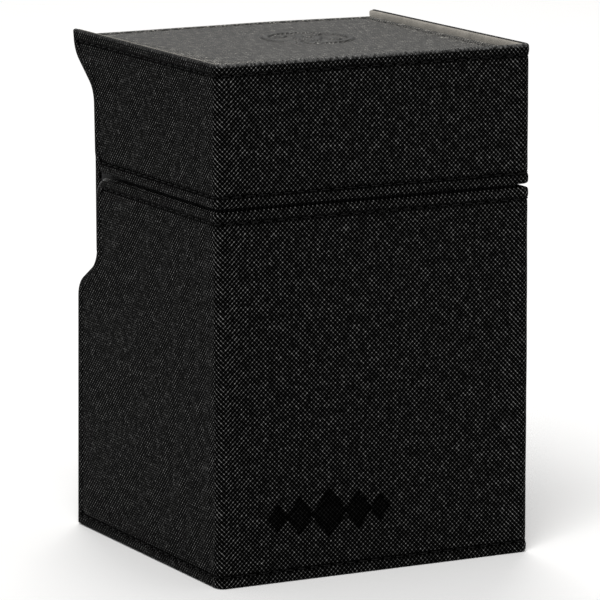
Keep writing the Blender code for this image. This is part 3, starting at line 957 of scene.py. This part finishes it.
class Nodes:
    """A material under construction: short calls that add and join nodes."""

    def __init__(self, name, roughness, specular):
        self.material = bpy.data.materials.new(name)
        self.material.use_nodes = True
        self.tree = self.material.node_tree
        self.shader = self.tree.nodes["Principled BSDF"]
        self.shader.inputs["Roughness"].default_value = roughness
        self.shader.inputs["Specular IOR Level"].default_value = specular

    def add(self, kind, **settings):
        node = self.tree.nodes.new(kind)
        for key, value in settings.items():
            setattr(node, key, value)
        return node

    def join(self, value, socket):
        """Sets a socket to a number or colour, or links another node's output to it."""
        if isinstance(value, bpy.types.NodeSocket):
            self.tree.links.new(value, socket)
        else:
            socket.default_value = value

    def math(self, operation, *values):
        node = self.add("ShaderNodeMath", operation=operation)
        for value, socket in zip(values, node.inputs):
            self.join(value, socket)
        return node.outputs[0]

    def times(self, *values):
        return self.math("MULTIPLY", *values)

    def layer(self, name="cloth"):
        """The values that a piece's points carry under this name."""
        return self.add("ShaderNodeAttribute", attribute_name=name).outputs["Vector"]

    def parts(self, vector):
        node = self.add("ShaderNodeSeparateXYZ")
        self.join(vector, node.inputs[0])
        return node.outputs

    def object_space(self):
        return self.add("ShaderNodeTexCoord").outputs["Object"]

    def scaled(self, vector, factor):
        node = self.add("ShaderNodeVectorMath", operation="SCALE")
        self.join(vector, node.inputs[0])
        node.inputs["Scale"].default_value = factor
        return node.outputs[0]

    def noise(self, vector, scale, detail=2.0, roughness=0.5, colour=False):
        node = self.add("ShaderNodeTexNoise")
        self.join(vector, node.inputs["Vector"])
        node.inputs["Scale"].default_value = scale
        node.inputs["Detail"].default_value = detail
        node.inputs["Roughness"].default_value = roughness
        return node.outputs["Color" if colour else "Fac"]

    def ramp(self, factor, *stops):
        node = self.add("ShaderNodeValToRGB")
        elements = node.color_ramp.elements
        while len(elements) < len(stops):
            elements.new(0.5)
        for element, (place, colour) in zip(elements, stops):
            element.position = place
            element.color = (*colour, 1.0) if len(colour) == 3 else colour
        self.join(factor, node.inputs["Fac"])
        return node.outputs["Color"]

    def mix(self, factor, first, second, kind="MIX"):
        node = self.add("ShaderNodeMix", data_type="RGBA", blend_type=kind)
        self.join(factor, node.inputs["Factor"])
        self.join(first, node.inputs["A"])
        self.join(second, node.inputs["B"])
        return node.outputs["Result"]

    def range(self, value, low, high, to_low, to_high):
        node = self.add("ShaderNodeMapRange")
        for socket, given in zip(node.inputs, (value, low, high, to_low, to_high)):
            self.join(given, socket)
        return node.outputs[0]

    def spread(self, noise, low, high):
        """The middle of a noise's range stretched over the given values."""
        return self.range(noise, 0.3, 0.7, low, high)

    def wave(self, vector, scale, distortion, detail=2.0, **kind):
        node = self.add("ShaderNodeTexWave", **kind)
        self.join(vector, node.inputs["Vector"])
        node.inputs["Scale"].default_value = scale
        node.inputs["Distortion"].default_value = distortion
        node.inputs["Detail"].default_value = detail
        return node.outputs["Fac"]

    def bump(self, height, distance, strength=1.0):
        node = self.add("ShaderNodeBump")
        node.inputs["Distance"].default_value = distance
        node.inputs["Strength"].default_value = strength
        self.join(height, node.inputs["Height"])
        self.join(node.outputs["Normal"], self.shader.inputs["Normal"])

    def set(self, **links):
        for name, value in links.items():
            self.join(value, self.shader.inputs[name.replace("_", " ")])
        return self.material


def woven(name, pit, thread, bright, roughness, specular, depth, thinness, uneven):
    """Embossed basket weave: fine raised diagonal threads with square pits between them; its colour follows
    the height, with painted shade in the pits and painted highlights on the raised crossings.
    """
    n = Nodes(name, roughness, specular)
    place = n.layer()
    drift = n.add("ShaderNodeVectorMath", operation="ADD")
    n.join(place, drift.inputs[0])
    n.join(n.scaled(n.noise(place, 0.9, 2.0, colour=True), 0.10), drift.inputs[1])
    across, up, _ = n.parts(drift.outputs[0])
    pressed, painted_shade, painted_highlight = n.parts(n.layer("finish"))
    # One family of threads stands higher near the corners, and through the colour below it is also painted
    # lighter: a painted highlight.
    lead = n.parts(n.layer("rubbed"))[0]
    turn = math.sqrt(2.0) * math.pi / WEAVE_PITCH
    ridges = []
    for operation, side in (("ADD", -THREAD_LEAD), ("SUBTRACT", THREAD_LEAD)):
        wave = n.math("COSINE", n.times(n.math(operation, across, up), turn))
        ridge = n.math("POWER", n.math("MULTIPLY_ADD", wave, 0.5, 0.5), thinness)
        ridges.append(n.times(ridge, n.math("MULTIPLY_ADD", lead, side, 0.85)))
    lattice = n.math("MAXIMUM", *ridges)
    crossing = n.times(*ridges)
    grain = n.noise(place, 6.0, 3.0, 0.6)
    patch = n.noise(place, 0.45, 3.0, 0.6)
    knots = n.noise(place, 1.3, 2.0, 0.6)
    stretched = n.add("ShaderNodeVectorMath", operation="MULTIPLY")
    n.join(place, stretched.inputs[0])
    stretched.inputs[1].default_value = STREAK
    streak = n.noise(stretched.outputs[0], 1.5, 1.0)
    weave = n.math("MULTIPLY_ADD", crossing, 0.45, n.times(lattice, 0.70))
    height = n.math("MULTIPLY_ADD", n.math("SUBTRACT", grain, 0.5), 0.15, weave)
    height = n.times(height, n.math("MULTIPLY_ADD", pressed, -0.4, 1.0))
    tone = n.times(height, n.spread(patch, 0.85, 1.12))
    tone = n.times(tone, n.spread(knots, 0.80, 1.18))
    tone = n.times(tone, n.spread(streak, 1.0 - uneven, 1.0 + uneven))
    # Painted shade and highlight: the colour darkens in the pits and lightens on the raised crossings, with
    # random patches and streaks.
    colour = n.ramp(tone, (0.22, pit), (0.62, thread), (1.0, bright))
    # Painted highlight: the pale channel lifts spots towards the bright colour.
    rubbed_spots = n.times(painted_highlight, n.range(knots, 0.40, 0.62, 0.15, 0.95))
    colour = n.mix(rubbed_spots, colour, (*bright, 1.0))
    # Painted shade: near black in the grooves and along rims and edges.
    colour = n.mix(n.times(painted_shade, 0.97), colour, (*pit, 1.0))
    rough = n.spread(grain, roughness - 0.05, roughness + 0.08)
    rough = n.math("MULTIPLY_ADD", pressed, -0.12, rough)
    n.bump(height, depth * MM)
    return n.set(Base_Color=colour, Roughness=rough)


def smooth_leather(name):
    """Fine pebbled grain with faint creases."""
    n = Nodes(name, 0.42, 0.4)
    place = n.layer()
    cells = n.add("ShaderNodeTexVoronoi", feature="SMOOTH_F1")
    n.join(place, cells.inputs["Vector"])
    cells.inputs["Scale"].default_value = 2.6
    grain = n.noise(place, 3.0, 4.0, 0.65)
    height = n.math("ADD", n.times(cells.outputs["Distance"], -0.7), grain)
    patch = n.noise(place, 0.25, 3.0)
    colour = n.ramp(n.times(n.math("ADD", grain, patch), 0.5),
                    (0.35, (0.009, 0.009, 0.009)), (0.65, (0.024, 0.023, 0.022)))
    painted_shade = n.parts(n.layer("finish"))[1]
    # Painted shade in the sewn groove.
    colour = n.mix(n.times(painted_shade, 0.8), colour, (0.001, 0.001, 0.001, 1.0))
    n.bump(height, 0.05 * MM)
    return n.set(Base_Color=colour, Roughness=n.spread(grain, 0.36, 0.52))


def lining_cloth(name, dark, light, weave, sheen):
    """Short-napped cloth: fine plain weave under a soft uneven nap."""
    n = Nodes(name, 0.88, 0.2)
    place = n.layer()
    waves = [n.math("SINE", n.times(out, 2 * math.pi / weave)) for out in n.parts(place)[:2]]
    plain = n.times(*waves)
    nap = n.noise(place, 5.0, 4.0, 0.7)
    patch = n.noise(place, 0.35, 3.0, 0.6)
    tone = n.math("ADD", n.times(plain, 0.10), n.times(nap, 0.6))
    tone = n.math("ADD", tone, n.times(patch, 0.5))
    colour = n.ramp(tone, (0.35, dark), (0.75, light))
    n.bump(n.math("ADD", n.times(plain, 0.35), nap), 0.08 * MM)
    n.shader.inputs["Sheen Weight"].default_value = sheen
    n.shader.inputs["Sheen Roughness"].default_value = 0.5
    return n.set(Base_Color=colour, Roughness=n.spread(nap, 0.80, 0.96))


def thread_finish(name, dark, light):
    """Bonded nylon sewing thread: fine twist with a dull shine."""
    n = Nodes(name, 0.5, 0.1)
    place = n.object_space()
    twist = n.wave(place, 1600.0, 1.5, wave_type="BANDS", bands_direction="DIAGONAL")
    fuzz = n.noise(place, 4000.0, 2.0)
    colour = n.ramp(twist, (0.2, dark), (0.9, light))
    n.bump(n.math("ADD", twist, fuzz), 0.03 * MM)
    return n.set(Base_Color=colour, Roughness=n.spread(fuzz, 0.45, 0.65))


def greyboard():
    """Unbleached board: mottled pulp with dark flecks and a layered, fibrous surface."""
    n = Nodes("greyboard_finish", 0.95, 0.15)
    place = n.object_space()
    pulp = n.noise(place, 700.0, 5.0, 0.7)
    cloud = n.noise(place, 60.0, 3.0)
    fibre = n.wave(place, 500.0, 9.0, 3.0, wave_type="BANDS", bands_direction="Z")
    tone = n.times(n.math("ADD", pulp, cloud), 0.5)
    colour = n.ramp(tone, (0.3, (0.13, 0.12, 0.105)), (0.55, (0.24, 0.225, 0.20)), (0.8, (0.33, 0.31, 0.27)))
    fleck = n.range(n.noise(place, 1500.0, 1.0), 0.66, 0.70, 0.0, 0.7)
    colour = n.mix(fleck, colour, (0.06, 0.055, 0.05, 1.0))
    n.bump(n.math("ADD", pulp, n.times(fibre, 0.3)), 0.08 * MM)
    return n.set(Base_Color=colour, Roughness=n.spread(pulp, 0.86, 0.99))


def nickel():
    """Plated magnet: bright metal with fine turning marks and dull spots."""
    n = Nodes("nickel_finish", 0.25, 0.5)
    place = n.object_space()
    scratch = n.wave(place, 900.0, 2.0, wave_type="RINGS", rings_direction="Y")
    spots = n.noise(place, 900.0, 4.0)
    colour = n.ramp(spots, (0.35, (0.50, 0.48, 0.45)), (0.6, (0.66, 0.65, 0.62)))
    n.shader.inputs["Metallic"].default_value = 1.0
    n.bump(scratch, 0.01 * MM)
    return n.set(Base_Color=colour, Roughness=n.spread(spots, 0.18, 0.38))


def carried_over():
    """Gives the CAD nodes that stay in view a finished material."""
    finishes = {"greyboard": greyboard(), "magnet_plating": nickel()}
    for row in frame["record"]["subparts"]:
        if row["material_slot"] in finishes:
            frame["nodes"][row["node"]].data.materials.clear()
            frame["nodes"][row["node"]].data.materials.append(finishes[row["material_slot"]])


# ---------------------------------------------------------------- stage


def camera():
    """The camera at the photograph's viewing angle."""
    away = Vector((
        math.sin(AZIMUTH) * math.cos(ELEVATION),
        -math.cos(AZIMUTH) * math.cos(ELEVATION),
        math.sin(ELEVATION),
    ))
    data = bpy.data.cameras.new("camera")
    data.lens = LENS
    data.sensor_width = SENSOR
    made = bpy.data.objects.new("camera", data)
    bpy.context.scene.collection.objects.link(made)
    turn = (-away).to_track_quat("-Z", "Y").to_matrix() @ Matrix.Rotation(ROLL, 3, "Z")
    made.matrix_world = Matrix.Translation(AIM + away * DISTANCE) @ turn.to_4x4()
    bpy.context.scene.camera = made


def soft_light(name, place, size, power, colour):
    """A square area light aimed at the box."""
    data = bpy.data.lights.new(name, "AREA")
    data.shape = "SQUARE"
    data.size = size
    data.energy = power
    data.color = colour
    made = bpy.data.objects.new(name, data)
    made.location = place
    made.rotation_euler = (AIM - Vector(place)).to_track_quat("-Z", "Y").to_euler()
    bpy.context.scene.collection.objects.link(made)


def floor():
    """A plain pale studio floor, slightly uneven in tone."""
    n = Nodes("floor_finish", 0.9, 0.1)
    tone = n.noise(n.object_space(), 3.0, 2.0)
    colour = n.ramp(tone, (0.3, (0.915, 0.918, 0.925)), (0.7, (0.935, 0.938, 0.945)))
    n.set(Base_Color=colour)
    mesh = bpy.data.meshes.new("floor")
    reach = 6.0
    corners = ((-reach, -reach, 0.0), (reach, -reach, 0.0), (reach, reach, 0.0), (-reach, reach, 0.0))
    mesh.from_pydata(corners, [], [(0, 1, 2, 3)])
    mesh.materials.append(n.material)
    made = bpy.data.objects.new("floor", mesh)
    made.location.z = -0.0001
    bpy.context.scene.collection.objects.link(made)


def studio():
    """White surroundings and two soft lights, one in front at the left and one behind."""
    world = bpy.data.worlds.new("studio")
    bpy.context.scene.world = world
    world.use_nodes = True
    background = world.node_tree.nodes["Background"].inputs
    background["Color"].default_value = (1.0, 1.0, 1.0, 1.0)
    background["Strength"].default_value = 0.41
    soft_light("key_light", (-0.7, -0.85, 1.7), 0.9, 26.0, (1.0, 0.99, 0.97))
    soft_light("rear_light", (0.5, 1.1, 1.5), 0.9, 14.0, (1.0, 0.98, 0.95))
    bpy.context.scene.view_settings.view_transform = "Standard"


camera()
floor()
studio()

WOVEN = woven("woven_leatherette_finish", (0.0001, 0.0001, 0.0001), (0.0162, 0.0162, 0.0160),
              (0.34, 0.34, 0.335), 0.50, 0.005, 0.12, 5.0, 0.10)
# The top takes the covers' woven pattern in much lighter colours: a painted sheen.
TOP_LEATHER_PAINTED_SHEEN = woven("top_leatherette_finish", (0.004, 0.004, 0.0035), (0.072, 0.070, 0.063),
                    (0.62, 0.60, 0.55), 0.42, 0.09, 0.12, 2.2, 0.50)
SMOOTH = smooth_leather("smooth_leatherette_finish")
LINING = lining_cloth("grey_lining_finish", (0.16, 0.15, 0.13), (0.42, 0.39, 0.34), 0.35, 0.3)
MICROFIBRE = lining_cloth("microfibre_finish", (0.006, 0.006, 0.0065), (0.018, 0.018, 0.019), 0.30, 0.05)
THREAD_FINISH = thread_finish("sewing_thread_finish", (0.0004, 0.0004, 0.0004), (0.004, 0.004, 0.004))
PALE_THREAD = thread_finish("pale_thread_finish", (0.02, 0.02, 0.019), (0.22, 0.21, 0.20))

covers()
top_panel()
base_panel()
backs()
spine_linings()
tray()
lid_inside()
carried_over()
